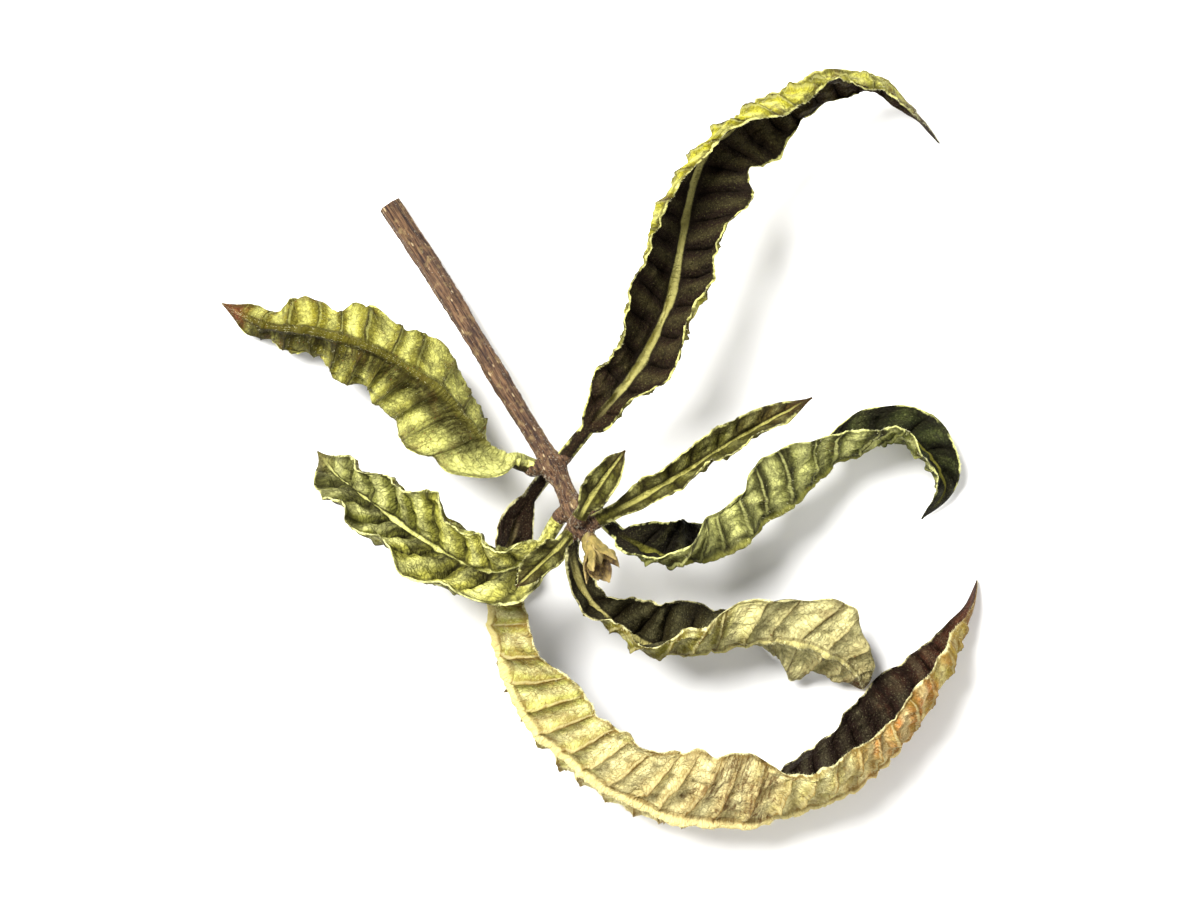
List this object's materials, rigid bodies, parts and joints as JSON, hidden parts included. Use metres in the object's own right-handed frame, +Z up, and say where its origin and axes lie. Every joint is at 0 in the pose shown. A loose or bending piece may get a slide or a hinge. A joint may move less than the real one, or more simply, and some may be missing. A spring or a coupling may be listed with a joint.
{
  "type": "dried lemon verbena sprig",
  "caption": "Dried leafy shoot tip lying flat: a cut stem with whorls of long, ribbed, curled and folded leaves, narrow young leaves and a bud at its end, for herb, tea and kitchen scenes.",
  "frame": {"origin": "middle of the sprig's footprint, on the surface it lies on", "axes": "+Z up from the surface, +Y towards the cut end of the stem, +X towards the tips of the two longest leaves"},
  "size_m": [0.08, 0.0786, 0.0175],
  "materials": {
    "bark": "matte",
    "bud": "matte",
    "leaf_olive": "matte",
    "leaf_pale": "matte",
    "leaf_tan": "matte",
    "leaf_young": "matte"
  },
  "bodies": {
    "root": {"stem": "bark", "shoot_tip": "bud", "lower_leaf_1": "leaf_olive", "lower_leaf_2": "leaf_pale", "lower_leaf_3": "leaf_tan", "upper_leaf_1": "leaf_olive", "upper_leaf_2": "leaf_pale", "upper_leaf_3": "leaf_olive", "young_leaf_1": "leaf_young", "young_leaf_2": "leaf_young", "young_leaf_3": "leaf_young"}
  },
  "joints": []
}
